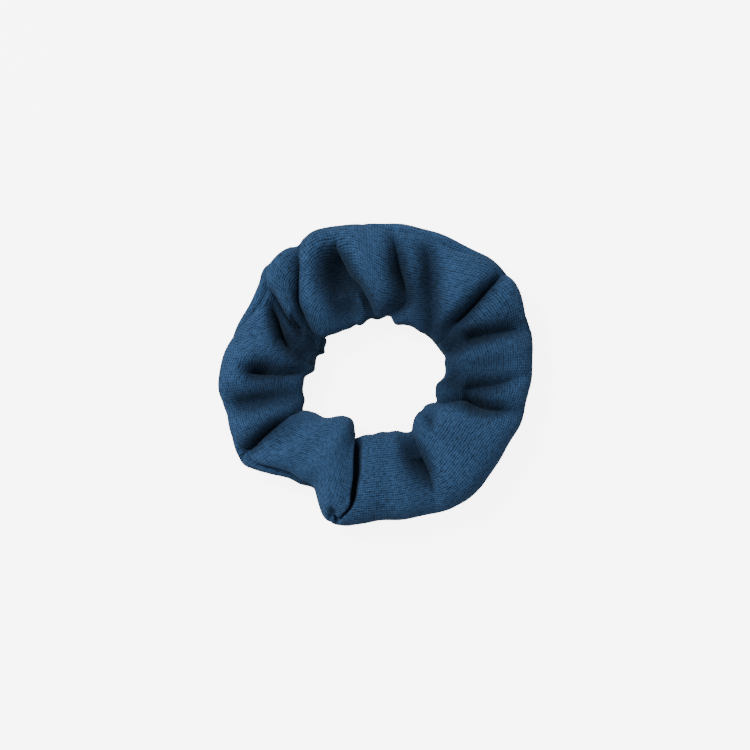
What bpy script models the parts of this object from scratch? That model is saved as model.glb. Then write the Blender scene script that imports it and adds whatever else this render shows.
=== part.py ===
"""A gathered jersey scrunchie, lying flat.

Metres, +Z up. The origin is on the table, under the middle of the outline, and
angles run counter-clockwise from +X. The ring is twelve sectors of 30 degrees,
each on its own slide, so that it opens evenly. It is closed at CLOSURE, where
the finished end of the cloth tube is pulled over the raw end and sewn down.
"""
import bpy
from math import asin, cos, degrees, radians, sin
from mathutils import Vector

MM = 0.001

# The ring
SECTORS = 12
SECTOR = 360 / SECTORS
CLOSURE = 250.0
# angle, inner radius and outer radius in mm, every 15 degrees
OUTLINE = (
    (0, 24.0, 55.0),
    (15, 25.0, 56.0),
    (30, 24.5, 57.5),
    (45, 22.0, 57.5),
    (60, 20.5, 54.5),
    (75, 21.0, 53.5),
    (90, 20.5, 53.3),
    (105, 19.0, 53.5),
    (120, 19.0, 53.0),
    (135, 21.0, 53.5),
    (150, 21.5, 51.0),
    (165, 22.5, 52.5),
    (180, 24.0, 55.0),
    (195, 26.5, 55.3),
    (210, 26.0, 55.0),
    (225, 21.5, 49.0),
    (240, 18.5, 46.5),
    (255, 22.0, 54.0),
    (270, 20.5, 51.0),
    (285, 20.5, 51.0),
    (300, 23.0, 53.5),
    (315, 20.0, 53.0),
    (330, 20.5, 52.0),
    (345, 21.5, 53.5),
)
OUTLINE_STEP = 15

# The cloth tube's cross-section
MID_HEIGHT = 9.7 * MM
HALF_HEIGHT = 10.5 * MM
SQUARENESS = 2.3
CLOTH = 0.9 * MM
ARC_POINTS = 22
SECTOR_ROWS = 5
TUCKED_ROWS = 8

# The long seam, just under the widest part of the outer edge
SEAM_HEIGHT = MID_HEIGHT - 3.5 * MM
SEAM_GAP = 0.3 * MM
SEAM_BEND = 1.0 * MM
ALLOWANCE = 5.0 * MM
SHORT_ALLOWANCE = 0.3 * MM
BEND_POINTS = 3

# The closure
RAW_END = 241.0
FINISHED_END = 256.0
TUCK = 2.8 * MM
TUCK_ENDS = 256.5
TUCK_OPENS = 261.0
TRIM_ENDS = 239.5

# The flat elastic
ELASTIC_CENTRE = Vector((-1.2 * MM, -0.6 * MM, 0.0))
ELASTIC_RADIUS = 28.5 * MM
ELASTIC_WIDTH = 6.0 * MM
ELASTIC_THICK = 1.0 * MM
LAP_STARTS = 240.5
LAP_STEP = ELASTIC_THICK + 0.3 * MM
LAP_RISE_ENDS = 239.5
LAP_ENDS = 256.0
ELASTIC_ROWS = 6

# Threads
THREAD_RADIUS = 0.2 * MM
THREAD_CLEAR = 0.3 * MM
OVERLOCK_STITCHES = 5
OVERLOCK_BITE = 3.0 * MM
OVERLOCK_MARGIN = 2.5
LAP_TURNS = 4
LAP_TURN_STEP = 1.6
LAP_SEWN_AT = 245.5
CLOSING_STITCHES = 16
CLOSING_SPAN = (-6.0, 192.0)
CLOSING_BITE = 2.2

# Space between neighbouring sectors
SECTOR_GAP = 0.3 * MM


def turn(angle):
    """Unit vector that points out of the ring at this angle."""
    return Vector((cos(radians(angle)), sin(radians(angle)), 0.0))


def along(angle):
    """Unit vector that runs round the ring, counter-clockwise."""
    return turn(angle + 90)


def ease(value, start, end):
    """0 before start, 1 after end, smooth between them."""
    t = min(1.0, max(0.0, (value - start) / (end - start)))
    return t * t * (3 - 2 * t)


def edges(angle):
    """The ring's inner and outer radius at an angle, on a smooth closed curve."""
    place = (angle % 360) / OUTLINE_STEP
    first = int(place)
    t = place - first
    near = [OUTLINE[(first + k) % len(OUTLINE)] for k in (-1, 0, 1, 2)]
    radii = []
    for side in (1, 2):
        a, b, c, d = (point[side] for point in near)
        curve = (
            2 * b + (c - a) * t + (2 * a - 5 * b + 4 * c - d) * t**2
            + (3 * b - a - 3 * c + d) * t**3
        )
        radii.append(curve / 2 * MM)
    return radii


def oval(angle, phi, inset):
    """Radius and height of the tube's outside, phi degrees round its section."""
    inner, outer = edges(angle)
    half_width = (outer - inner) / 2 - inset
    half_height = HALF_HEIGHT - inset
    c, s = cos(radians(phi)), sin(radians(phi))
    power = 2 / SQUARENESS
    radius = (inner + outer) / 2 + half_width * abs(c) ** power * (1 if c > 0 else -1)
    height = MID_HEIGHT + half_height * abs(s) ** power * (1 if s > 0 else -1)
    return radius, max(height, inset)


def height_to_phi(height, inset):
    """The angle in the section, in degrees, where its outer side is this low."""
    share = (MID_HEIGHT - height) / (HALF_HEIGHT - inset)
    return -degrees(asin(share ** (SQUARENESS / 2)))


def flange_edge(angle, inset, allowance):
    """How far from the ring's middle the seam allowances end."""
    phi = height_to_phi(SEAM_HEIGHT - SEAM_GAP / 2 - SEAM_BEND, inset)
    return oval(angle, phi, inset)[0] - SEAM_BEND - allowance


def section(angle, inset, allowance):
    """The tube's outside as radius and height, from one seam allowance to the other."""
    free = flange_edge(angle, inset, allowance)
    low_centre = SEAM_HEIGHT - SEAM_GAP / 2 - SEAM_BEND
    high_centre = SEAM_HEIGHT + SEAM_GAP / 2 + SEAM_BEND
    low_phi = height_to_phi(low_centre, inset)
    high_phi = height_to_phi(high_centre, inset)
    low_side = oval(angle, low_phi, inset)[0] - SEAM_BEND
    high_side = oval(angle, high_phi, inset)[0] - SEAM_BEND

    points = [(free, SEAM_HEIGHT - SEAM_GAP / 2)]
    for k in range(BEND_POINTS):
        bend = radians(90 - 90 * k / BEND_POINTS)
        points.append((low_side + SEAM_BEND * cos(bend), low_centre + SEAM_BEND * sin(bend)))
    for k in range(ARC_POINTS):
        phi = low_phi + (high_phi - 360 - low_phi) * k / (ARC_POINTS - 1)
        points.append(oval(angle, phi, inset))
    for k in range(BEND_POINTS):
        bend = radians(-90 * (k + 1) / BEND_POINTS)
        points.append((high_side + SEAM_BEND * cos(bend), high_centre + SEAM_BEND * sin(bend)))
    points.append((free, SEAM_HEIGHT + SEAM_GAP / 2))
    return points


def material(name, colour, roughness):
    finish = bpy.data.materials.new(name)
    finish.use_nodes = True
    shader = finish.node_tree.nodes["Principled BSDF"]
    shader.inputs["Base Color"].default_value = (*colour, 1.0)
    shader.inputs["Roughness"].default_value = roughness
    shader.inputs["Metallic"].default_value = 0.0
    return finish


def keep(piece, name, finish, holder, collection):
    """Name a piece, give it its own material and put it on its moving body."""
    piece.name = name
    piece.data.name = name
    own = finish.copy()
    own.name = name
    piece.data.materials.append(own)
    for old in list(piece.users_collection):
        old.objects.unlink(piece)
    collection.objects.link(piece)
    piece.parent = holder
    piece.matrix_parent_inverse = holder.matrix_world.inverted()
    return piece


def band(columns, rows, place, thickness, offset):
    """A sheet whose points are put by place(column, row), then given a wall."""
    bpy.ops.mesh.primitive_grid_add(
        x_subdivisions=columns - 1, y_subdivisions=rows - 1, size=1
    )
    piece = bpy.context.object
    for vertex in piece.data.vertices:
        column = round((vertex.co.x + 0.5) * (columns - 1))
        row = round((vertex.co.y + 0.5) * (rows - 1))
        vertex.co = place(column, row)
    wall = piece.modifiers.new("wall", "SOLIDIFY")
    wall.thickness = thickness
    wall.offset = offset
    wall.use_even_offset = True
    piece.data.shade_smooth()
    piece.data.set_sharp_from_angle(angle=radians(40))
    return piece


def thread(points):
    """A thin round tube through the points."""
    curve = bpy.data.curves.new("thread", "CURVE")
    curve.dimensions = "3D"
    spline = curve.splines.new("POLY")
    spline.points.add(len(points) - 1)
    for target, point in zip(spline.points, points):
        target.co = (*point, 1.0)
    curve.bevel_depth = THREAD_RADIUS
    curve.bevel_resolution = 0
    curve.use_fill_caps = True
    piece = bpy.data.objects.new("thread", curve)
    bpy.context.scene.collection.objects.link(piece)
    return piece


def cover(start, end, inset_at, allowance_at, rows=SECTOR_ROWS):
    """A sector of the cloth tube, hollow, with its seam allowances turned in."""
    rings = []
    for row in range(rows):
        share = row / (rows - 1)
        angle = start + (end - start) * share
        shift = (0.5 - share) * SECTOR_GAP * along(angle)
        ring = section(angle, inset_at(angle), allowance_at(angle))
        rings.append([turn(angle) * r + Vector((0, 0, z)) + shift for r, z in ring])
    return band(len(rings[0]), rows, lambda c, r: rings[r][c], CLOTH, -1)


def elastic(start, end, lift_at):
    """A stretch of the flat elastic, on edge, following its circle."""
    def place(column, row):
        share = row / (ELASTIC_ROWS - 1)
        angle = start + (end - start) * share
        shift = (0.5 - share) * SECTOR_GAP * along(angle)
        height = MID_HEIGHT + (column - 0.5) * ELASTIC_WIDTH
        reach = ELASTIC_RADIUS + lift_at(angle)
        return ELASTIC_CENTRE + turn(angle) * reach + shift + Vector((0, 0, height))

    return band(2, ELASTIC_ROWS, place, ELASTIC_THICK, 0)


def overlock(start, end, inset_at):
    """The long seam's thread, lapped round the free edges of both allowances."""
    clear = THREAD_CLEAR + THREAD_RADIUS
    above = SEAM_HEIGHT + SEAM_GAP / 2 + CLOTH + clear
    below = SEAM_HEIGHT - SEAM_GAP / 2 - CLOTH - clear
    points = []
    for stitch in range(OVERLOCK_STITCHES):
        share = stitch / (OVERLOCK_STITCHES - 1)
        angle = start + OVERLOCK_MARGIN + (end - start - 2 * OVERLOCK_MARGIN) * share
        free = flange_edge(angle, inset_at(angle), ALLOWANCE)
        loop = [
            (free + OVERLOCK_BITE, above),
            (free - clear, above),
            (free - clear, below),
            (free + OVERLOCK_BITE, below),
        ]
        if stitch % 2:
            loop.reverse()
        points += [turn(angle) * r + Vector((0, 0, z)) for r, z in loop]
    return thread(points)


def lap_stitches():
    """The thread that is wound round both layers where the elastic laps."""
    clear = THREAD_CLEAR + THREAD_RADIUS
    near = ELASTIC_RADIUS - ELASTIC_THICK / 2 - clear
    far = ELASTIC_RADIUS + LAP_STEP + ELASTIC_THICK / 2 + clear
    reach = ELASTIC_WIDTH / 2 + clear
    corners = ((near, -reach), (far, -reach), (far, reach), (near, reach))
    points = []
    for k in range(4 * LAP_TURNS + 1):
        r, z = corners[k % 4]
        angle = LAP_SEWN_AT + LAP_TURN_STEP * k / 4
        points.append(ELASTIC_CENTRE + turn(angle) * r + Vector((0, 0, MID_HEIGHT + z)))
    return thread(points)


def closing_stitches():
    """The slip stitches that hold the finished end down on the tube inside it."""
    lift = THREAD_CLEAR + THREAD_RADIUS
    just_off = FINISHED_END + 0.7
    points = []
    for stitch in range(CLOSING_STITCHES):
        share = stitch / (CLOSING_STITCHES - 1)
        phi = CLOSING_SPAN[0] + (CLOSING_SPAN[1] - CLOSING_SPAN[0]) * share
        leg = [
            (FINISHED_END - CLOSING_BITE, -lift),
            (just_off, -lift),
            (just_off + 0.4, TUCK - 2 * lift),
        ]
        if stitch % 2:
            leg.reverse()
        for angle, inset in leg:
            r, z = oval(angle, phi, inset)
            points.append(turn(angle) * r + Vector((0, 0, z)))
    return thread(points)


def tuck_at(angle):
    """How deep the raw end lies inside the finished end."""
    return TUCK * (1 - ease(angle, TUCK_ENDS, TUCK_OPENS))


def trimmed_at(angle):
    """The allowances are trimmed short under the closure."""
    share = ease(angle, CLOSURE - SECTOR / 2, TRIM_ENDS)
    return ALLOWANCE + (SHORT_ALLOWANCE - ALLOWANCE) * share


def lap_at(angle):
    """The elastic's second layer climbs on to the first."""
    return LAP_STEP * ease(angle, CLOSURE - SECTOR / 2, LAP_RISE_ENDS)


def holder_at(name, angle, collection):
    """The empty that a moving body's pieces are parented to."""
    holder = bpy.data.objects.new(name, None)
    inner, outer = edges(angle)
    holder.location = turn(angle) * (inner + outer) / 2 + Vector((0, 0, MID_HEIGHT))
    holder.empty_display_size = 5 * MM
    collection.objects.link(holder)
    return holder


def build():
    for old in list(bpy.data.objects):
        bpy.data.objects.remove(old, do_unlink=True)
    group = bpy.data.collections.new("scrunchie")
    bpy.context.scene.collection.children.link(group)
    jersey = material("jersey", (0.016, 0.046, 0.093), 0.9)
    webbing = material("webbing", (0.62, 0.61, 0.57), 0.7)
    sewing = material("sewing", (0.012, 0.036, 0.070), 0.6)

    def plain(angle):
        return 0.0

    def full(angle):
        return ALLOWANCE

    half = SECTOR / 2
    start = holder_at("closure_start_body", CLOSURE, group)
    end = holder_at("closure_end_body", CLOSURE, group)
    rings = [holder_at(f"ring_{k:02d}_body", CLOSURE + SECTOR * k, group)
             for k in range(1, SECTORS)]
    bpy.context.view_layer.update()

    keep(cover(RAW_END, CLOSURE + half, tuck_at, full, TUCKED_ROWS),
         "cover_closure_start", jersey, start, group)
    keep(elastic(LAP_STARTS, CLOSURE + half, plain),
         "elastic_closure_start", webbing, start, group)
    keep(overlock(RAW_END, CLOSURE + half, tuck_at),
         "seam_thread_closure_start", sewing, start, group)
    keep(lap_stitches(), "elastic_join_thread", sewing, start, group)
    keep(closing_stitches(), "closing_thread", sewing, start, group)

    for k, holder in enumerate(rings, 1):
        low = CLOSURE + SECTOR * k - half
        high = low + SECTOR
        keep(cover(low, high, plain, full), f"cover_{k:02d}", jersey, holder, group)
        keep(elastic(low, high, plain), f"elastic_{k:02d}", webbing, holder, group)
        keep(overlock(low, high, plain), f"seam_thread_{k:02d}", sewing, holder, group)

    keep(cover(CLOSURE - half, FINISHED_END, plain, trimmed_at),
         "cover_closure_end", jersey, end, group)
    keep(elastic(CLOSURE - half, LAP_ENDS, lap_at),
         "elastic_closure_end", webbing, end, group)
    for finish in (jersey, webbing, sewing):
        bpy.data.materials.remove(finish)


build()
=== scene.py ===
# %% [markdown]
# # A gathered jersey scrunchie
# One strip of navy jersey, sewn into a tube, bunched over a flat elastic and
# closed by pulling one finished end over the other. The cloth is one smooth
# surface worked out point by point: an oval tube, pressed in along each fold.
# A formula is used rather than a sculpt, so that every fold has a place and
# the scene is the same each time it is made.

import bpy
import numpy as np
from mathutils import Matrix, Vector


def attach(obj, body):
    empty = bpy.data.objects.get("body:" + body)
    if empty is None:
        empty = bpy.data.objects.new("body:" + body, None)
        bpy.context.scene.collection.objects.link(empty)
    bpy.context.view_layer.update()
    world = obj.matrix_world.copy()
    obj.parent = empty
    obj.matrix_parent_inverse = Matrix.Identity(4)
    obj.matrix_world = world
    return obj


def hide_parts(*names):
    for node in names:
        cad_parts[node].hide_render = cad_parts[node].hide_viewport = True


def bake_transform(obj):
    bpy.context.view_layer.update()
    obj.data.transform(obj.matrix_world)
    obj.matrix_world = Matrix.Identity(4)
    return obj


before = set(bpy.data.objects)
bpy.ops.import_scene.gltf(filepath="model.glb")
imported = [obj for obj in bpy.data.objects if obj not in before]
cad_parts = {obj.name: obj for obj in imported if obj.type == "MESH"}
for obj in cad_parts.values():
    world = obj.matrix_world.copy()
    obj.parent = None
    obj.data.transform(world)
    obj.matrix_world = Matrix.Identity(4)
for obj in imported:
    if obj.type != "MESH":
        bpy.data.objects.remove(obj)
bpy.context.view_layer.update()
bpy.ops.object.select_all(action="DESELECT")

MM = 0.001


# %% [markdown]
# ## Measures
# Angles run counter-clockwise from +X, in degrees. The strip starts at the raw
# end, tucked inside the closure at 243 degrees, and runs once round the ring
# and on, to the finished end at about 615 degrees, which laps over the start.
# The inner and the outer edge of the tube as it lies are two smooth curves.

# %% The outline and the seam
INNER_EDGE = (
    (243, 24.2), (250, 23.4), (256, 22.0), (262, 21.1), (270, 20.0), (280, 19.8),
    (290, 19.6), (300, 21.2), (306, 20.9), (312, 19.4), (320, 18.6), (330, 18.9),
    (336, 20.2), (343, 19.5), (352, 18.9), (360, 21.4), (370, 22.2), (380, 21.0),
    (390, 19.9), (400, 18.7), (410, 19.6), (420, 19.3), (430, 16.8), (438, 17.7),
    (444, 16.1), (450, 15.5), (458, 16.6), (468, 15.7), (480, 16.8), (490, 18.3),
    (498, 19.5), (504, 17.0), (510, 16.4), (517, 15.8), (522, 17.8), (530, 17.6),
    (538, 18.2), (542, 21.8), (548, 23.3), (560, 24.0), (566, 25.4), (575, 23.3),
    (582, 21.6), (588, 18.9), (593, 17.3), (602, 18.0), (608, 19.4), (612, 21.6),
    (618, 24.2),
)
OUTER_EDGE = (
    (243, 49.5), (250, 51.5), (254, 54.2), (258, 54.2), (264, 52.4), (270, 51.4),
    (280, 51.4), (290, 52.3), (300, 54.3), (306, 54.6), (312, 53.9), (320, 53.2),
    (330, 52.8), (340, 53.8), (350, 53.7), (360, 55.2), (370, 56.7), (380, 57.8),
    (390, 58.4), (400, 59.0), (405, 58.1), (410, 56.5), (420, 54.7), (430, 54.5),
    (440, 53.5), (450, 53.4), (460, 53.9), (468, 54.4), (474, 54.6), (478, 53.6),
    (481, 52.4), (484, 53.6), (490, 54.5), (496, 54.4), (502, 51.6), (508, 50.5),
    (515, 50.5), (525, 52.2), (535, 54.1), (545, 55.8), (555, 54.6), (565, 55.4),
    (570, 56.0), (575, 55.9), (578, 53.9), (583, 50.3), (589, 47.3), (595, 46.3),
    (602, 45.8), (606, 49.0), (610, 52.8), (613, 54.4), (618, 54.6),
)
# where the long seam runs, in degrees round the cross-section from its outer side
SEAM_LINE = (
    (243, -15), (300, -20), (340, -18), (385, -8), (400, 2), (410, 15), (420, 23),
    (432, 25), (442, 20), (450, 8), (458, -12), (480, -18), (494, 2), (501, 22),
    (507, 29), (513, 25), (521, 12), (532, -8), (550, -6), (565, 6), (574, 24),
    (585, 21), (595, 14), (602, 2), (618, -10),
)
# how full the tube is, as a share of its usual height
FULLNESS = (
    (243, 0.90), (262, 0.97), (280, 1.00), (300, 0.96), (318, 1.02), (338, 0.97),
    (362, 0.98), (385, 0.97), (408, 1.03), (430, 0.97), (446, 1.00), (480, 1.05),
    (502, 0.93), (512, 0.92), (530, 1.00), (546, 0.98), (560, 0.94), (585, 1.02),
    (605, 1.00), (618, 0.96),
)
MID_HEIGHT = 9.7 * MM
HALF_HEIGHT = 10.4 * MM
SQUARENESS = 2.25
CLOTH = 0.9 * MM


# %% A smooth curve through a few knots
def through(knots, where):
    """The value at each place, on a smooth curve through (place, value) knots."""
    x = np.array([k[0] for k in knots], float)
    y = np.array([k[1] for k in knots], float)
    slope = np.gradient(y, x)
    i = np.clip(np.searchsorted(x, where) - 1, 0, len(x) - 2)
    gap = x[i + 1] - x[i]
    t = np.clip((where - x[i]) / gap, 0, 1)
    return (
        y[i] * (1 + 2 * t) * (1 - t) ** 2
        + slope[i] * gap * t * (1 - t) ** 2
        + y[i + 1] * t**2 * (3 - 2 * t)
        - slope[i + 1] * gap * t**2 * (1 - t)
    )


def ease(value, start, end):
    """0 before start, 1 after end, smooth between them."""
    t = np.clip((value - start) / (end - start), 0, 1)
    return t * t * (3 - 2 * t)


# %% [markdown]
# ## The folds
# Gathered cloth is smooth round the outside of the ring and creased towards
# the hole, because the same length of cloth has less far to go there. Each fold
# is a line across the tube, with a depth at each knot. Its profile is sharp at
# the bottom and rounds off on both sides, as puffed cloth does between creases.
# `across` is 1 at the outer edge, 0 at the hole and below 0 on the underside.

# %% The list of folds
# (across, angle, depth in mm), then the width before and after in mm, how round
# the bottom is, and the lap: how far one side leans over the crease, below 0 for
# the side before it
FOLDS = (
    (((0.97, 294.0, 0.4), (0.80, 296.5, 1.6), (0.67, 298.2, 3.8), (0.53, 299.7, 6.8),
      (0.34, 300.4, 6.8), (0.13, 301.5, 3.0), (-0.05, 304, 1.2), (-0.5, 308, 1.0), (-0.8, 309, 0)),
     4.4, 1.6, 0.12, 1.2),
    (((0.28, 315.0, 0.0), (0.18, 320.0, 2.4), (0.02, 323.0, 1.6), (-0.2, 324, 1.6)),
     1.6, 2.4, 0.3, 0.0),
    (((0.96, 345.0, 1.6), (0.85, 344.0, 4.6), (0.69, 342.6, 7.0), (0.51, 342.8, 8.4),
      (0.36, 343.7, 6.6), (0.20, 340.6, 4.4), (0.07, 337.0, 3.4), (-0.05, 336, 1.8),
      (-0.6, 334, 0.6)), 1.4, 3.4, 0.12, -0.5),
    (((0.96, 359.5, 1.0), (0.76, 356.0, 3.6), (0.55, 353.5, 5.0), (0.32, 351.5, 5.2),
      (0.12, 355.0, 4.4), (-0.03, 356, 1.4), (-0.6, 357, 0.3)), 2.2, 3.6, 0.3, -0.4),
    (((0.95, 366.0, 0.4), (0.7, 366, 1.6), (0.4, 366, 1.8), (0.1, 368, 0.8)),
     2.6, 3.4, 0.5, 0.0),
    (((1.0, 376.5, 1.2), (0.95, 377.1, 3.0), (0.63, 379.0, 5.6), (0.40, 380.6, 7.2),
      (0.17, 379.6, 7.0), (0.05, 377.6, 4.0), (-0.05, 376, 1.6), (-0.6, 374, 0.6)),
     1.8, 3.4, 0.3, 0.0),
    (((1.0, 398.2, 0.8), (0.93, 397.4, 4.0), (0.83, 396.8, 5.6), (0.52, 393.8, 5.6),
      (0.27, 391.0, 5.2), (0.10, 387.0, 3.6), (-0.05, 386, 1.4), (-0.5, 387, 1.5),
      (-0.8, 386, 0)), 1.5, 2.0, 0.15, -0.8),
    (((0.97, 427.5, 0.3), (0.85, 426.5, 3.8), (0.63, 421.4, 5.0), (0.42, 415.5, 5.4),
      (0.20, 407.0, 5.0), (0.05, 399.0, 2.6), (-0.2, 399, 1.2), (-0.6, 400, 0.4)),
     2.8, 4.0, 0.5, 0.0),
    (((0.97, 442.5, 0.6), (0.87, 441.5, 2.6), (0.70, 439.3, 4.4), (0.54, 436.2, 5.6),
      (0.39, 431.1, 6.4), (0.24, 427.4, 6.6), (0.14, 428.8, 5.2), (0.05, 433.0, 2.8),
      (-0.2, 436, 2.0), (-0.6, 437, 0.8)), 1.6, 3.0, 0.3, 0.6),
    (((0.88, 466.5, 1.0), (0.78, 465.2, 7.0), (0.68, 464.2, 10.4), (0.51, 462.3, 11.6),
      (0.36, 457.4, 11.0), (0.20, 452.6, 7.6), (0.04, 448.5, 3.0), (-0.2, 448, 2.0),
      (-0.6, 447, 0.6)), 1.3, 6.2, 0.15, -1.7),
    (((0.42, 464.5, 0.0), (0.32, 466.0, 1.6), (0.22, 468.6, 2.2), (0.08, 470.6, 1.4),
      (-0.05, 471, 0.8), (-0.3, 471, 0.8)), 0.9, 3.5, 0.3, 0.0),
    (((1.0, 480.5, 1.0), (0.92, 482.2, 4.0), (0.77, 485.4, 5.6), (0.63, 489.6, 5.8),
      (0.48, 494.9, 6.0), (0.33, 497.9, 6.6), (0.19, 501.1, 6.4), (0.05, 502.6, 3.6),
      (-0.2, 503, 2.0), (-0.6, 504, 0.5)), 1.1, 2.6, 0.1, -1.8),
    (((0.57, 503.0, 0.0), (0.48, 503.8, 2.6), (0.38, 504.9, 4.4), (0.22, 506.4, 4.4),
      (0.10, 506.5, 2.4), (-0.05, 507, 0.6)), 0.8, 1.5, 0.12, -1.0),
    (((0.99, 499.6, 0.8), (0.90, 500.2, 3.6), (0.80, 501.0, 5.0), (0.70, 503.2, 5.2),
      (0.59, 505.6, 5.2), (0.38, 508.6, 6.0), (0.18, 511.6, 6.4), (0.06, 514.6, 4.0),
      (-0.1, 515, 1.8), (-0.4, 515, 0.8)), 1.0, 2.2, 0.12, -1.4),
    (((0.90, 506.6, 0.4), (0.84, 508.0, 3.8), (0.72, 512.2, 7.4), (0.58, 517.8, 8.6),
      (0.42, 522.4, 8.6), (0.28, 525.8, 8.2), (0.14, 529.0, 7.0), (0.04, 530.6, 3.4),
      (-0.2, 530, 1.6), (-0.6, 530, 0.5)), 3.0, 1.2, 0.2, 1.2),
    (((0.84, 536.5, 0.0), (0.76, 538.4, 2.4), (0.68, 539.6, 5.8), (0.57, 540.2, 7.4),
      (0.42, 540.6, 5.2), (0.25, 540.6, 4.4), (0.08, 540.0, 2.8), (-0.05, 540, 1.0),
      (-0.5, 539, 1.0)), 3.0, 1.4, 0.2, 0.8),
    (((0.97, 552.5, 1.2), (0.89, 552.2, 3.8), (0.70, 552.4, 5.2), (0.52, 552.6, 5.2),
      (0.27, 553.5, 4.2), (0.05, 554.5, 2.2), (-0.1, 555, 0.6)), 3.8, 3.0, 0.4, 0.0),
    (((1.0, 571.8, 3.0), (0.94, 572.0, 7.0), (0.68, 570.6, 9.6), (0.50, 569.4, 8.6),
      (0.34, 568.4, 6.0), (0.20, 567.4, 3.6), (0.08, 566.4, 2.2), (-0.05, 566, 1.2),
      (-0.6, 568, 1.0)), 2.4, 1.2, 0.12, 1.8),
    (((0.99, 612.8, 0.3), (0.93, 612.6, 1.5), (0.87, 612.2, 1.4), (0.80, 611.8, 0)),
     0.7, 0.7, 0.15, 0.0),
    (((0.98, 614.0, 0.3), (0.92, 613.8, 1.6), (0.86, 613.5, 1.2), (0.81, 613.2, 0)),
     0.5, 0.6, 0.15, 0.0),
)

FOLD_DEPTH = 1.25
FOLD_WIDTH = 1.1
DEEPEST = 15.0 * MM
DEEPEST_AT_HOLE = 7.6 * MM
DEEPEST_UNDER = 1.2 * MM

# %% Soft hollows
# where the top of the cloth sinks between folds: the middle (x, y), the depth, the
# half-length and half-width in mm, and the direction of the length in degrees
HOLLOWS = (
    (-24.0, 37.0, -0.9, 9.0, 3.2, -78), (-11.8, 31.0, 5.5, 12.5, 4.8, -75),
    (-5.4, 26.1, -4.5, 5.5, 1.8, -72),
    (-42.0, 2.4, 1.6, 5.0, 2.2, 0),
    (-34.8, 16.4, 2.6, 7.5, 2.2, -60), (34.5, -11.8, 2.6, 6.5, 2.4, -8),
    (13.5, -25.5, 3.4, 8.0, 3.2, 112), (-29.0, -19.0, 2.0, 9.0, 3.0, 42),
    (31.0, 11.5, 1.8, 9.0, 3.0, 14), (9.0, 38.0, 2.0, 9.0, 3.2, -82),
    (34.0, 24.0, 1.6, 9.0, 3.2, 44), (-24.0, 31.0, -1.2, 8.0, 3.5, -75),
    (-6.0, -37.0, 1.2, 9.0, 5.0, 80), (-40.0, -14.0, -1.0, 10.0, 3.0, 20),
)


# %% The finished end and the mouth that it makes
# across, angle: the line of the finished end over the tube
FINISHED_END = (
    (-1.0, 613), (-0.6, 614), (-0.2, 612), (0.02, 612.3), (0.18, 614.6), (0.42, 617.2),
    (0.57, 617.5), (0.75, 617.8), (0.83, 616.6), (0.9, 614.5), (1.0, 613),
)
RAW_END = 243.0
LAST_ANGLE = 614.0
END_SWING_FROM = 600.0
TUCK = 4.4 * MM
GAP = 1.9 * MM
GAP_WALL = 1.1 * MM


# %% [markdown]
# ## The surface
# For any angle round the ring and any place round the tube, these functions
# give the point on the cloth. The small pleats at the hole come from a seeded
# list, so they fall unevenly but the same way each time.

# %% The oval tube
def oval(angle, phi):
    """Radius and height on the plain tube, before any fold."""
    inner = through(INNER_EDGE, angle) * MM
    outer = through(OUTER_EDGE, angle) * MM
    c, s = np.cos(np.radians(phi)), np.sin(np.radians(phi))
    power = 2 / SQUARENESS
    radius = (inner + outer) / 2 + (outer - inner) / 2 * np.sign(c) * np.abs(c) ** power
    half = HALF_HEIGHT * through(FULLNESS, angle)
    return radius, MID_HEIGHT + half * np.sign(s) * np.abs(s) ** power


def across_of(phi):
    """1 at the outer edge, 0 at the hole, and the same below 0 on the underside."""
    c = np.cos(np.radians(phi))
    share = (1 + np.sign(c) * np.abs(c) ** (2 / SQUARENESS)) / 2
    return np.where(np.sin(np.radians(phi)) >= 0, share, -share)


# %% Pleats and ripples from a seeded list
rng = np.random.default_rng(7)
PLEAT_COUNT = 46
PLEAT_ANGLES = np.linspace(262, 604, PLEAT_COUNT) + rng.uniform(-2.0, 2.0, PLEAT_COUNT)
PLEAT_DEPTHS = rng.uniform(0.4, 1.5, PLEAT_COUNT) * MM
PLEAT_WIDTHS = rng.uniform(1.0, 2.2, PLEAT_COUNT) * MM
PLEAT_LEANS = rng.uniform(-8, 8, PLEAT_COUNT)
PLEATS_AT = -0.30
PLEAT_REACH = 0.17
PLEAT_ROUNDNESS = 0.2
RIPPLE_COUNT = 14
RIPPLE_TURNS = rng.integers(5, 24, RIPPLE_COUNT)
RIPPLE_ACROSS = rng.uniform(-2.0, 2.0, RIPPLE_COUNT)
RIPPLE_PHASE = rng.uniform(0, 2 * np.pi, RIPPLE_COUNT)
RIPPLE_HEIGHT = 0.10 * MM


def pleats(angle, across, radius):
    """Depth of the many small pleats where the cloth is drawn up at the hole."""
    depth = np.zeros(np.broadcast(angle, across).shape)
    reach = np.exp(-(((across - PLEATS_AT) / PLEAT_REACH) ** 2))
    for place, deep, width, lean in zip(
        PLEAT_ANGLES, PLEAT_DEPTHS, PLEAT_WIDTHS, PLEAT_LEANS
    ):
        x = np.radians(angle - place - lean * across) * radius / width
        depth += deep * np.exp(-np.sqrt(x**2 + PLEAT_ROUNDNESS**2)) * reach
    return depth


def ripples(angle, phi):
    """The slight unevenness of soft cloth."""
    wave = np.zeros(np.broadcast(angle, phi).shape)
    for turns, share, phase in zip(RIPPLE_TURNS, RIPPLE_ACROSS, RIPPLE_PHASE):
        wave += np.sin(np.radians(angle) * turns + np.radians(phi) * share + phase)
    return wave * RIPPLE_HEIGHT


# %% The folds' depth and lap
FADE_BEFORE = 0.12
FADE_AFTER = 0.06
LAP_WIDTH = 1.1 * MM
LAP_FROM_DEPTH = 1.5 * MM
LAP_FULL_AFTER = 3 * MM


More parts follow.
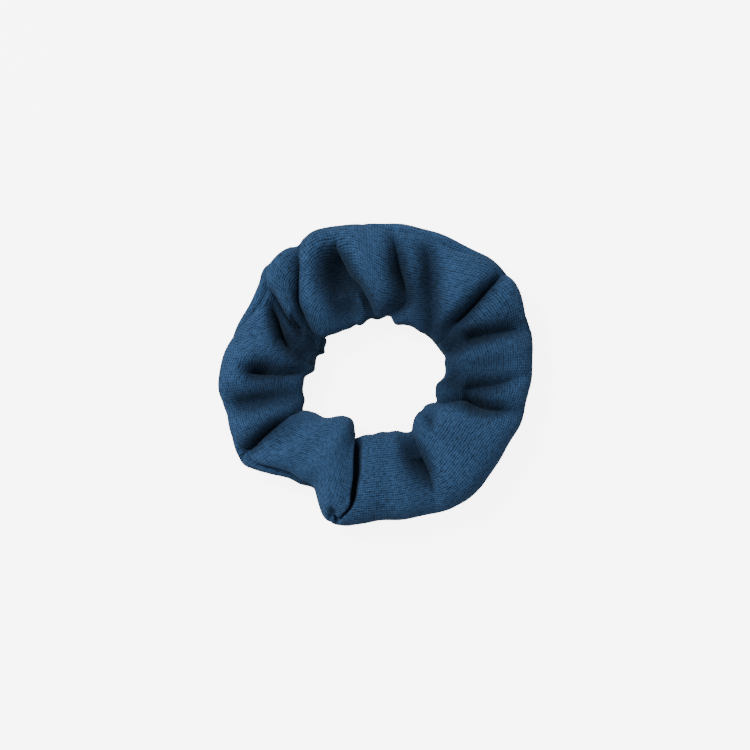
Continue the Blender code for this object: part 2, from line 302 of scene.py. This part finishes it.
def folds(angle, across, radius):
    """How deep the cloth is pressed in, and how far it leans round the ring."""
    depth = np.zeros(np.broadcast(angle, across).shape)
    shift = np.zeros_like(depth)
    for knots, before, after, roundness, lap in FOLDS:
        line = sorted((q, a) for q, a, d in knots)
        deep = sorted((q, d) for q, a, d in knots)
        low, high = line[0][0], line[-1][0]
        fade = ease(across, low - FADE_BEFORE, low)
        fade = fade * (1 - ease(across, high, high + FADE_AFTER))
        d = np.maximum(through(deep, across), 0) * fade * FOLD_DEPTH * MM
        x = np.radians(angle - through(line, across)) * radius
        width = np.where(x < 0, before, after) * FOLD_WIDTH * MM
        near = np.sqrt((x / width) ** 2 + roundness**2) - roundness
        depth += d * np.exp(-near)
        if lap:
            side = np.maximum(x * np.sign(lap), 0) / LAP_WIDTH
            full = np.clip((d - LAP_FROM_DEPTH) / LAP_FULL_AFTER, 0, 1)
            shift -= lap * MM * full * side * np.exp(1 - side)
    return depth, shift


def hollows(angle, phi, radius):
    """How far the top of the cloth sinks in the soft hollows."""
    x = radius * np.cos(np.radians(angle)) / MM
    y = radius * np.sin(np.radians(angle)) / MM
    sink = np.zeros(x.shape)
    for cx, cy, deep, long, wide, turn in HOLLOWS:
        c, s = np.cos(np.radians(turn)), np.sin(np.radians(turn))
        along = ((x - cx) * c + (y - cy) * s) / long
        aside = ((y - cy) * c - (x - cx) * s) / wide
        sink += deep * np.exp(-(along**2) - aside**2)
    return sink * MM * ease(np.sin(np.radians(phi)), 0.0, 0.7)


def pressed(angle, phi, across, radius):
    """Folds and hollows together, with a limit on how deep they go."""
    depth, shift = folds(angle, across, radius)
    depth += hollows(angle, phi, radius)
    limit = DEEPEST_UNDER + (DEEPEST_AT_HOLE - DEEPEST_UNDER) * ease(across, -0.08, 0.02)
    limit += (DEEPEST - DEEPEST_AT_HOLE) * ease(across, 0.30, 0.46)
    return depth / (1 + (np.maximum(depth, 0) / limit) ** 4) ** 0.25, shift


# %% The whole surface
SEAM_GAP = 0.3 * MM
SEAM_BEND = 1.1 * MM
SEAM_PULL = 1.4 * MM
SEAM_PUCKER = 1.9 * MM
ALLOWANCE = 5.0 * MM
SHORT_ALLOWANCE = 0.7 * MM
# how the painted shade in the creases grows with depth, and how much more the closure's mouth gets
SHADE_DEPTH = 4.0 * MM
SHADE_POWER = 1.4
MOUTH_SHADE = 2.5
ROUND_ROWS = 200
FULL_TURN = 360.0
TYPICAL_ANGLE = 300.0


def tube_spacing():
    """Places round the section against the share of cloth used up to them."""
    phi = np.linspace(-FULL_TURN, 2 * FULL_TURN, 3001)
    radius, height = oval(TYPICAL_ANGLE, phi)
    step = np.hypot(np.diff(radius), np.diff(height))
    used = np.concatenate([[0], np.cumsum(step)])
    turn = np.interp(FULL_TURN, phi, used) - np.interp(0, phi, used)
    return phi, used / turn, turn


PHI_TABLE, USED_TABLE, GIRTH = tube_spacing()


def strip_rows(angle):
    """Across the strip: the place round the tube, and offsets along and into it."""
    seam = through(SEAM_LINE, angle)[:, None]
    allowance = ALLOWANCE + (SHORT_ALLOWANCE - ALLOWANCE) * ease(angle, 596, 602)
    bends = np.radians([0.0, 30.0, 60.0])
    flat = np.zeros(len(bends) + 1)
    flat[1:] = SEAM_BEND * (1 - np.cos(bends))
    deep = np.zeros(len(bends) + 1)
    deep[1:] = SEAM_BEND * (1 - np.sin(bends))
    side = SEAM_GAP / 2 + flat[None, :] + 0 * seam
    into = deep[None, :] + 0 * seam
    into[:, 0] = SEAM_BEND + allowance
    start = np.interp(seam[:, 0], PHI_TABLE, USED_TABLE)[:, None]
    margin = (SEAM_GAP / 2 + SEAM_BEND) / GIRTH
    share = np.linspace(margin, 1 - margin, ROUND_ROWS)[None, :]
    main = np.interp(start + share, USED_TABLE, PHI_TABLE)
    hold = seam + 0 * side
    phi = np.hstack([hold, main, hold[:, ::-1]])
    sideways = np.hstack([side, 0 * main, -side[:, ::-1]])
    inwards = np.hstack([into, 0 * main, into[:, ::-1]])
    cloth = np.hstack([-into / GIRTH, share + 0 * seam, 1 + into[:, ::-1] / GIRTH])
    return phi, sideways, inwards, cloth * GIRTH


def tucked(angle, phi, across, radius):
    """How much slimmer the raw end is than the finished end that it lies in."""
    mouth = through(FINISHED_END, across) - FULL_TURN
    x = np.radians(angle - mouth) * radius
    edge = 1 - ease(np.abs(np.sin(np.radians(phi))), 0.05, 0.6)
    tuck = TUCK * (1 - edge * ease(x, -2.5 * MM, -0.5 * MM))
    return tuck * (1 - ease(x, GAP, GAP + GAP_WALL)) * (angle < 300)


def place(angle, phi, sideways, inwards):
    """The point on or under the cloth at each angle and place round the tube."""
    radius, height = oval(angle, phi)
    r1, z1 = oval(angle, phi + 0.5)
    r0, z0 = oval(angle, phi - 0.5)
    length = np.hypot(r1 - r0, z1 - z0)
    tr, tz = (r1 - r0) / length, (z1 - z0) / length
    nr, nz = tz, -tr

    across = across_of(phi)
    depth, shift = pressed(angle, phi, across, radius)
    depth += pleats(angle, across, radius) + ripples(angle, phi)
    from_seam = np.remainder(phi - through(SEAM_LINE, angle) + 180, FULL_TURN) - 180
    beside = np.radians(from_seam) * HALF_HEIGHT / SEAM_PUCKER
    depth += SEAM_PULL * np.exp(-(beside**2))
    depth += tucked(angle, phi, across, radius)

    radius = radius + nr * (-depth - inwards) + tr * sideways
    height = height + nz * (-depth - inwards) + tz * sideways
    turn = np.radians(angle) + shift / radius
    height = np.maximum(height, inwards * 0.5)
    return np.stack([radius * np.cos(turn), radius * np.sin(turn), height], axis=-1)


def painted_crease_shade(angle, phi):
    """Painted shade: 0 on open cloth and nearly 1 deep in a crease, for the finish."""
    radius = oval(angle, phi)[0]
    across = across_of(phi)
    depth = pressed(angle, phi, across, radius)[0]
    # painted shade: the tuck in the closure's mouth counts extra, to darken the gap
    depth += MOUTH_SHADE * tucked(angle, phi, across, radius)
    return 1 - np.exp(-((np.maximum(depth, 0) / SHADE_DEPTH) ** SHADE_POWER))


def swung(angle, phi):
    """The angle, bent near the finished end to follow its line."""
    swing = through(FINISHED_END, across_of(phi)) - LAST_ANGLE
    return angle + swing * ease(angle, END_SWING_FROM, LAST_ANGLE)


def surface(angles):
    """The cloth's points for each angle and row, the cloth across, and the painted shade."""
    phi, sideways, inwards, cloth = strip_rows(angles)
    turned = swung(angles[:, None], phi)
    return place(turned, phi, sideways, inwards), cloth, painted_crease_shade(turned, phi)


# %% [markdown]
# ## Pieces of cloth
# The ring opens by twelve equal slides, so the cloth is cut into twelve
# pieces, each from the middle of one body to the middle of the next. Both
# sides of a cut are worked out by the same function and take their normals from
# the whole surface, so no line shows where they meet.

# %% Bodies round the ring
CLOSURE = 250.0
SECTOR = 30.0
SECTORS = 12
BODY_NAMES = (
    ["closure_start"] + [f"ring_{k:02d}" for k in range(1, SECTORS)] + ["closure_end"]
)
COLUMNS = 60
HEM_BEND = 0.9 * MM
HEM_DEPTH = 2.0 * MM
PAD = 0.05
CLOTH_ALONG = 0.0445
HEM_COLUMNS_END = 7
CAP_REACH = 5.5 * MM


def normals_of(points):
    """Unit normals of a grid of points, from the differences both ways."""
    u = np.gradient(points, axis=0)
    v = np.gradient(points, axis=1)
    n = np.cross(u, v)
    return n / np.maximum(np.linalg.norm(n, axis=2, keepdims=True), 1e-12)


def hem(points, normals):
    """The finished end, turned in: more columns that bend under and run back."""
    along = points[-1] - points[-2]
    along /= np.linalg.norm(along, axis=1, keepdims=True)
    normal = normals[-1]
    columns = []
    for bend in np.radians([30, 60, 90, 120, 150, 180]):
        columns.append(
            points[-1]
            + along * HEM_BEND * np.sin(bend)
            - normal * HEM_BEND * (1 - np.cos(bend))
        )
    for back in (0.4, 1.0):
        columns.append(points[-1] - along * HEM_DEPTH * back - normal * 2 * HEM_BEND)
    return np.concatenate([points, np.stack(columns)])


def grid_piece(name, points, normals, along, cloth, shade, thickness):
    """A grid laid on the points, with a wall and a map in metres of cloth."""
    count, rows = points.shape[:2]
    bpy.ops.mesh.primitive_grid_add(x_subdivisions=count - 1, y_subdivisions=rows - 1,
                                    size=1)
    piece = bpy.context.object
    piece.name = piece.data.name = name
    mesh = piece.data
    flat = np.zeros(len(mesh.vertices) * 3)
    mesh.vertices.foreach_get("co", flat)
    flat = flat.reshape(-1, 3)
    i = np.rint((flat[:, 0] + 0.5) * (count - 1)).astype(int)
    j = np.rint((flat[:, 1] + 0.5) * (rows - 1)).astype(int)
    mesh.vertices.foreach_set("co", points[i, j].astype(np.float32).ravel())
    loops = np.zeros(len(mesh.loops), int)
    mesh.loops.foreach_get("vertex_index", loops)
    layer = mesh.uv_layers.active.data
    uv = np.stack([along[i[loops]], cloth[i[loops], j[loops]]], axis=1)
    layer.foreach_set("uv", uv.astype(np.float32).ravel())
    # the crease attribute carries the painted shade of the creases, for the colour
    crease = mesh.attributes.new("crease", "FLOAT", "POINT")
    crease.data.foreach_set("value", shade[i, j].astype(np.float32).ravel())
    mesh.shade_smooth()
    outside = normals[i[loops], j[loops]]
    face_loops = len(mesh.loops)

    wall = piece.modifiers.new("wall", "SOLIDIFY")
    wall.thickness = thickness
    wall.offset = -1
    bpy.ops.object.modifier_apply(modifier=wall.name)
    custom = np.zeros((len(mesh.loops), 3))
    custom[:face_loops] = outside
    mesh.normals_split_custom_set(custom.tolist())
    return piece


def cloth_piece(name, angles, hemmed):
    """One piece of the tube."""
    padded = np.concatenate([[angles[0] - PAD], angles, [angles[-1] + PAD]])
    points, cloth, shade = surface(padded)
    normals = normals_of(points)[1:-1]
    points, cloth, shade = points[1:-1], cloth[1:-1], shade[1:-1]
    along = np.radians(angles) * CLOTH_ALONG
    if hemmed:
        points = hem(points, normals)
        extra = len(points) - len(angles)
        cloth = np.concatenate([cloth, np.repeat(cloth[-1:], extra, axis=0)])
        shade = np.concatenate([shade, np.repeat(shade[-1:], extra, axis=0)])
        along = np.concatenate([along, along[-1] + np.linspace(0.5, HEM_COLUMNS_END, extra) * MM])
        normals = normals_of(points)
    return grid_piece(name, points, normals, along, cloth, shade, CLOTH), points


def blend_ends(points, k):
    """Start and end of the stretch zone between the piece's two cut edges."""
    low, high = np.radians(CLOSURE + SECTOR * k), np.radians(CLOSURE + SECTOR * (k + 1))
    middle = (low + high) / 2
    along = np.array([-np.sin(middle), np.cos(middle), 0])
    first = (points[0] @ along).max() if k else -CAP_REACH
    last = (points[-1] @ along).min() if k < SECTORS - 1 else CAP_REACH
    return Vector(along * first), Vector(along * last)


# %% Make the twelve pieces
def piece_angles(k):
    """The angles of one piece; the first and the last run on to the strip's ends."""
    low = CLOSURE + SECTOR * k
    high = low + SECTOR
    if k == 0:
        low = RAW_END
    if k == SECTORS - 1:
        high = LAST_ANGLE
    count = int(round(COLUMNS * (high - low) / SECTOR)) + 1
    return np.linspace(low, high, count)


def cad_nodes(kind, k):
    """The CAD nodes that one visible piece stands for."""
    names = [f"{kind}_closure_start" if k == 0 else f"{kind}_{k:02d}"]
    if k == SECTORS - 1 and kind != "seam_thread":
        names.append(f"{kind}_closure_end")
    return names


def fit_out(piece, k, slot, *nodes):
    """Bake a piece's place into its mesh and hide the CAD nodes that it stands for."""
    BODY_NAMES[k + 1]
    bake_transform(piece)
    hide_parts(*nodes)


covers = []
STRETCH = []
for k in range(SECTORS):
    piece, points = cloth_piece(f"jersey_{k + 1:02d}", piece_angles(k), k == SECTORS - 1)
    STRETCH.append(blend_ends(points, k))
    fit_out(piece, k, "jersey", *cad_nodes("cover", k))
    covers.append(piece)
    zone = (STRETCH[k][1] - STRETCH[k][0]).length / MM
    print(piece.name, len(piece.data.polygons), "faces, stretch zone", round(zone, 1), "mm")


# %% [markdown]
# ## The elastic
# Inside the tube, close to the hole, runs a flat elastic on its edge. It is one
# loop whose two ends lap by about six millimetres at the closure. It is cut into
# the same twelve pieces as the cloth.

# %% Elastic strips
ELASTIC_LINE = (
    (243, 27.4), (250, 28.0), (265, 27.2), (285, 26.2), (310, 26.0), (330, 26.6),
    (350, 28.2), (370, 30.2), (385, 31.2), (400, 30.2), (420, 26.8), (440, 24.4),
    (465, 23.0), (480, 23.6), (495, 25.2), (510, 26.4), (530, 28.4), (550, 31.2), (565, 32.0),
    (580, 29.8), (593, 26.8), (603, 27.4), (610, 28.0), (618, 27.6),
)
ELASTIC_HEIGHT = 6.6 * MM
ELASTIC_WIDTH = 6.0 * MM
ELASTIC_THICKNESS = 1.0 * MM
ELASTIC_LAP_STEP = 1.3 * MM
ELASTIC_START = 244.0
ELASTIC_END = 616.0
ELASTIC_ROWS = 5
ELASTIC_COLUMNS = 31
ELASTIC_CLIMB = (598, 603)


def elastic_points(angles):
    """A grid on the elastic's outer face, standing on its edge."""
    out = through(ELASTIC_LINE, angles) * MM
    out = out + ELASTIC_LAP_STEP * ease(angles, *ELASTIC_CLIMB)
    rise = np.linspace(-0.5, 0.5, ELASTIC_ROWS) * ELASTIC_WIDTH
    turn = np.radians(angles)[:, None]
    x = out[:, None] * np.cos(turn) + 0 * rise
    y = out[:, None] * np.sin(turn) + 0 * rise
    return np.stack([x, y, ELASTIC_HEIGHT + rise + 0 * x], axis=2), rise


elastics = []
for k in range(SECTORS):
    low = ELASTIC_START if k == 0 else CLOSURE + SECTOR * k
    high = ELASTIC_END if k == SECTORS - 1 else CLOSURE + SECTOR * (k + 1)
    angles = np.linspace(low, high, ELASTIC_COLUMNS)
    points, rise = elastic_points(angles)
    along = np.radians(angles) * through(ELASTIC_LINE, angles) * MM
    piece = grid_piece(f"elastic_strip_{k + 1:02d}", points, normals_of(points), along,
                       rise[None, :] + 0 * points[:, :, 0], 0 * points[:, :, 0],
                       ELASTIC_THICKNESS)
    fit_out(piece, k, "webbing", *cad_nodes("elastic", k))
    elastics.append(piece)
print(len(elastics), "elastic strips")


# %% [markdown]
# ## The threads
# Three threads hold the scrunchie together: the overlock thread that binds the
# long seam inside the tube, the zigzag that joins the elastic's ends, and the
# hand stitches that close the ring under the finished end. Each is a thin round
# tube swept along its path.

# %% A thread along a path
THREAD_RADIUS = 0.2 * MM
OVERLOCK_PITCH = 2.6 * MM
OVERLOCK_BITE = 3.4 * MM
OVERLOCK_HALF = 1.35 * MM
OVERLOCK_LOOSE = 0.3 * MM
OVERLOCK_RADIUS = 50 * MM
OVERLOCK_POINTS = 12
THREAD_GAP = 0.3
SEAM_THREAD_STOPS = 594.0


def thread_piece(name, points):
    """A mesh tube along the points."""
    curve = bpy.data.curves.new(name, "CURVE")
    curve.dimensions = "3D"
    curve.bevel_depth = THREAD_RADIUS
    curve.bevel_resolution = 1
    curve.use_fill_caps = True
    spline = curve.splines.new("POLY")
    spline.points.add(len(points) - 1)
    row = np.hstack([points, np.ones((len(points), 1))])
    spline.points.foreach_set("co", row.astype(np.float32).ravel())
    piece = bpy.data.objects.new(name, curve)
    bpy.context.scene.collection.objects.link(piece)
    bpy.ops.object.select_all(action="DESELECT")
    bpy.context.view_layer.objects.active = piece
    piece.select_set(True)
    bpy.ops.object.convert(target="MESH")
    piece = bpy.context.object
    piece.name = piece.data.name = name
    piece.data.shade_smooth()
    return piece


# %% The overlock thread of the long seam
def overlock(low, high):
    """A thread wound round the two free edges of the seam allowance."""
    stitches = int(np.radians(high - low) * OVERLOCK_RADIUS / OVERLOCK_PITCH)
    turn = np.linspace(0, 1, stitches * OVERLOCK_POINTS + 1)
    phase = turn * stitches * 2 * np.pi
    angle = low + (high - low) * turn
    square = 1 / np.maximum(np.abs(np.cos(phase)), np.abs(np.sin(phase)))
    sideways = OVERLOCK_HALF * np.cos(phase) * square
    edge = SEAM_BEND + ALLOWANCE + OVERLOCK_LOOSE
    inwards = edge - OVERLOCK_BITE * (1 + np.sin(phase) * square) / 2
    return place(angle, through(SEAM_LINE, angle), sideways, inwards)


threads = []
for k in range(SECTORS):
    low = RAW_END + 1 if k == 0 else CLOSURE + SECTOR * k + THREAD_GAP
    high = min(CLOSURE + SECTOR * (k + 1) - THREAD_GAP, SEAM_THREAD_STOPS)
    piece = thread_piece(f"overlock_{k + 1:02d}", overlock(low, high))
    fit_out(piece, k, "sewing_thread", *cad_nodes("seam_thread", k))
    threads.append(piece)
print(len(threads), "lengths of overlock thread")


# %% The closing stitches and the elastic's zigzag
CLOSING_STITCHES = 26
ZIGZAGS = 9
ZIGZAG_RISE = 2.2 * MM


def ladder():
    """Hand stitches between the finished end and the cloth it is pulled over."""
    path = []
    for n in range(CLOSING_STITCHES):
        for share in ((0.0, 0.5), (0.5, 0.0))[n % 2]:
            phi = np.array([FULL_TURN * n / CLOSING_STITCHES])
            mouth = through(FINISHED_END, across_of(phi)) - FULL_TURN
            radius = oval(mouth, phi)[0]
            beyond = np.degrees((share * 2.4 + 0.2) * MM / radius)
            under = np.array([(1.3 - share * 0.9) * MM])
            path.append(place(mouth + beyond, phi, 0 * phi, under)[0])
    return np.array(path)


def zigzag():
    """A thread sewn to and fro across the elastic's lap."""
    turn = np.linspace(ELASTIC_START + 2, ELASTIC_END - FULL_TURN - 2, ZIGZAGS * 2 + 1)
    out = through(ELASTIC_LINE, turn) * MM + ELASTIC_LAP_STEP + THREAD_RADIUS
    rise = ELASTIC_HEIGHT + ZIGZAG_RISE * (-1.0) ** np.arange(len(turn))
    turn = np.radians(turn)
    return np.stack([out * np.cos(turn), out * np.sin(turn), rise], axis=1)


closing = thread_piece("closing_stitches", ladder())
joining = thread_piece("elastic_zigzag", zigzag())
for piece, node in ((closing, "closing_thread"), (joining, "elastic_join_thread")):
    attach(piece, "closure_start")
    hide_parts(node)
    threads.append(piece)
print("closing stitches", len(closing.data.polygons), "faces")


# %% [markdown]
# ## Shader helper
# A shader is a sum of small nodes. This class wraps a socket, so that an
# expression such as `1 - mask * 0.5` adds its Math nodes by itself.

# %% A socket with operators
class Wire:
    def __init__(self, tree, socket):
        self.tree = tree
        self.socket = socket

    def node(self, kind, settings=None, out=0, **values):
        made = self.tree.nodes.new(kind)
        for key, value in (settings or {}).items():
            setattr(made, key, value)
        for key, value in values.items():
            place = int(key[1:]) if key[0] == "_" else key.replace("_", " ")
            self.put(made.inputs[place], value)
        return Wire(self.tree, made.outputs[out])

    def put(self, socket, value):
        if isinstance(value, Wire):
            self.tree.links.new(value.socket, socket)
        else:
            socket.default_value = value

    def maths(self, operation, a, b=0.0, c=0.0):
        return self.node("ShaderNodeMath", {"operation": operation}, _0=a, _1=b, _2=c)

    def ramp(self, value, stops):
        made = self.node("ShaderNodeValToRGB", _0=value)
        for element, (position, colour) in zip(
            made.socket.node.color_ramp.elements, stops
        ):
            element.position = position
            element.color = colour
        return made

    def __add__(self, other):
        return self.maths("ADD", self, other)

    def __sub__(self, other):
        return self.maths("SUBTRACT", self, other)

    def __rsub__(self, other):
        return self.maths("SUBTRACT", other, self)

    def __mul__(self, other):
        return self.maths("MULTIPLY", self, other)

    __radd__ = __add__
    __rmul__ = __mul__


def new_material(name):
    finish = bpy.data.materials.new(name)
    finish.use_nodes = True
    tree = finish.node_tree
    shader = tree.nodes["Principled BSDF"]
    return finish, shader, Wire(tree, None)


# %% [markdown]
# ## The jersey
# Jersey is rows of small stitches. The rows run along the strip, so they follow
# every fold. Each row is a ridge 0.9 mm wide, and each stitch in it is a
# short slanting loop, so the pattern is a sine wave across the rows and another
# along them, pushed out of step in the middle of each row. The same height
# feeds the bump and the colour, and the gaps between stitches are painted
# darker, as painted shade. The cloth also has an attribute that says how deep
# it lies, and the colour darkens with it: painted shade in creases and the mouth.

# %% Jersey material
ROW_PITCH = 0.9 * MM
STITCH_PITCH = 0.86 * MM
ROW_WANDER = 0.9 * MM
CREASE_SHADE = 0.82
TWO_PI = 2 * np.pi


def jersey_material():
    finish, shader, w = new_material("jersey")
    uv = w.node("ShaderNodeTexCoord", out=2)
    parts = w.node("ShaderNodeSeparateXYZ", _0=uv)
    u, v = parts, Wire(w.tree, parts.socket.node.outputs[1])
    wander = w.node("ShaderNodeTexNoise", {"noise_dimensions": "2D"}, _0=uv,
                    Scale=90.0, Detail=2.0)
    v = v + wander * ROW_WANDER
    rows = v * (TWO_PI / ROW_PITCH)
    ridge = w.maths("SINE", rows) * 0.5 + 0.5
    slant = w.maths("ABSOLUTE", w.maths("SINE", rows * 0.5)) * 2.2
    stitch = w.maths("SINE", u * (TWO_PI / STITCH_PITCH) + slant) * 0.5 + 0.5
    fluff = w.node("ShaderNodeTexNoise", {"noise_dimensions": "2D"}, _0=uv,
                   Scale=2600.0, Detail=3.0, Roughness=0.6)
    drawn = w.node("ShaderNodeCombineXYZ", _0=u * 0.55, _1=v, _2=0.0)
    tufts = w.node("ShaderNodeTexNoise", {"noise_dimensions": "2D"}, _0=drawn,
                   Scale=1100.0, Detail=2.0, Roughness=0.7)
    height = ridge * 0.38 + stitch * 0.26 + fluff * 0.60 + tufts * 1.10 - 0.52
    patches = w.node("ShaderNodeTexNoise", {"noise_dimensions": "2D"}, _0=uv,
                     Scale=55.0, Detail=3.0)
    # painted shade in the gaps between stitches, with random tone from the fluff, tufts and
    # patches
    stitch_shade_and_tone = height * 0.85 + patches * 0.35 - 0.12
    ramp = w.ramp(stitch_shade_and_tone, ((0.12, (0.0014, 0.0044, 0.0100, 1)),
                        (0.95, (0.0305, 0.0750, 0.1640, 1))))
    # painted shade: the colour is darkened where the cloth lies deep in a crease
    crease = w.node("ShaderNodeAttribute", {"attribute_name": "crease"}, out=2)
    crease_shade_factor = 1 - crease * CREASE_SHADE
    w.put(shader.inputs["Base Color"],
          w.node("ShaderNodeVectorMath", {"operation": "SCALE"}, _0=ramp, Scale=crease_shade_factor))
    bump = w.node("ShaderNodeBump", Strength=0.8, Distance=0.30 * MM, Height=height)
    w.put(shader.inputs["Normal"], bump)
    shader.inputs["Roughness"].default_value = 0.92
    shader.inputs["Specular IOR Level"].default_value = 0.1
    shader.inputs["Sheen Weight"].default_value = 0.08
    shader.inputs["Sheen Roughness"].default_value = 0.45
    shader.inputs["Sheen Tint"].default_value = (0.30, 0.50, 0.75, 1)
    return finish


jersey = jersey_material()
for piece in covers:
    piece.data.materials.append(jersey)
print("jersey on", len(covers), "pieces")


# %% [markdown]
# ## The elastic and the thread
# The elastic is braided: narrow ribs run along it over the rubber cords, with
# slanting yarns across them. The thread is a two-ply twist, too fine to need
# more than soft streaks.

# %% Elastic and thread materials
RIB_PITCH = 0.75 * MM
BRAID_PITCH = 1.1 * MM


def elastic_material():
    finish, shader, w = new_material("elastic")
    uv = w.node("ShaderNodeTexCoord", out=2)
    u = w.node("ShaderNodeSeparateXYZ", _0=uv)
    v = Wire(w.tree, u.socket.node.outputs[1])
    rib = w.maths("SINE", v * (TWO_PI / RIB_PITCH)) * 0.5 + 0.5
    yarn = w.maths("SINE", u * (TWO_PI / BRAID_PITCH) + rib * 2.0) * 0.5 + 0.5
    height = rib * 0.6 + yarn * 0.4
    ramp = w.ramp(height, ((0.1, (0.42, 0.41, 0.38, 1)), (0.9, (0.72, 0.71, 0.67, 1))))
    w.put(shader.inputs["Base Color"], ramp)
    bump = w.node("ShaderNodeBump", Strength=0.8, Distance=0.2 * MM, Height=height)
    w.put(shader.inputs["Normal"], bump)
    shader.inputs["Roughness"].default_value = 0.8
    return finish


def thread_material():
    finish, shader, w = new_material("sewing_thread")
    spot = w.node("ShaderNodeTexCoord", out=3)
    streak = w.node("ShaderNodeTexNoise", _0=spot, Scale=2200.0, Detail=2.0)
    ramp = w.ramp(streak, ((0.3, (0.006, 0.018, 0.036, 1)),
                           (0.7, (0.020, 0.055, 0.105, 1))))
    w.put(shader.inputs["Base Color"], ramp)
    bump = w.node("ShaderNodeBump", Strength=0.5, Distance=0.05 * MM, Height=streak)
    w.put(shader.inputs["Normal"], bump)
    shader.inputs["Roughness"].default_value = 0.6
    return finish


for pieces, finish in ((elastics, elastic_material()), (threads, thread_material())):
    for piece in pieces:
        piece.data.materials.append(finish)
print("elastic on", len(elastics), "pieces, thread on", len(threads))

# %% Camera
FRAME_WIDTH = 0.2625
CAMERA_HEIGHT = 1.4
SENSOR = 36.0
camera_data = bpy.data.cameras.new("camera")
camera = bpy.data.objects.new("camera", camera_data)
bpy.context.scene.collection.objects.link(camera)
camera_data.sensor_width = SENSOR
camera_data.lens = SENSOR * (CAMERA_HEIGHT - MID_HEIGHT) / FRAME_WIDTH
camera.location = (0, 0, CAMERA_HEIGHT)
bpy.context.scene.camera = camera

# %% Floor and light
FLOOR_SIZE = 4
FLOOR_GLOW = 6.0
DOME_STRENGTH = 0.7
bpy.ops.mesh.primitive_plane_add(size=FLOOR_SIZE)
floor = bpy.context.object
floor.name = "floor"
floor_finish, floor_shader, _ = new_material("floor")
floor_shader.inputs["Base Color"].default_value = (0.86, 0.86, 0.86, 1)
floor_shader.inputs["Roughness"].default_value = 0.9
floor_shader.inputs["Emission Color"].default_value = (1, 1, 1, 1)
floor_shader.inputs["Emission Strength"].default_value = FLOOR_GLOW
floor.visible_diffuse = False
floor.visible_glossy = False
floor.data.materials.append(floor_finish)

world = bpy.data.worlds.new("studio")
bpy.context.scene.world = world
world.use_nodes = True
world.node_tree.nodes["Background"].inputs["Color"].default_value = (1, 1, 1, 1)
world.node_tree.nodes["Background"].inputs["Strength"].default_value = DOME_STRENGTH


def soft_box(name, place, size, power):
    """A square light that faces the middle of the ring."""
    data = bpy.data.lights.new(name, "AREA")
    data.size = size
    data.energy = power
    light = bpy.data.objects.new(name, data)
    bpy.context.scene.collection.objects.link(light)
    light.location = place
    light.rotation_euler = (-Vector(place)).to_track_quat("-Z", "Y").to_euler()


soft_box("key", (-0.74, 0.62, 1.12), 0.45, 32.0)
soft_box("fill", (1.1, -1.1, 0.25), 1.0, 1.0)
print("camera, floor and", len(bpy.data.lights), "lights")
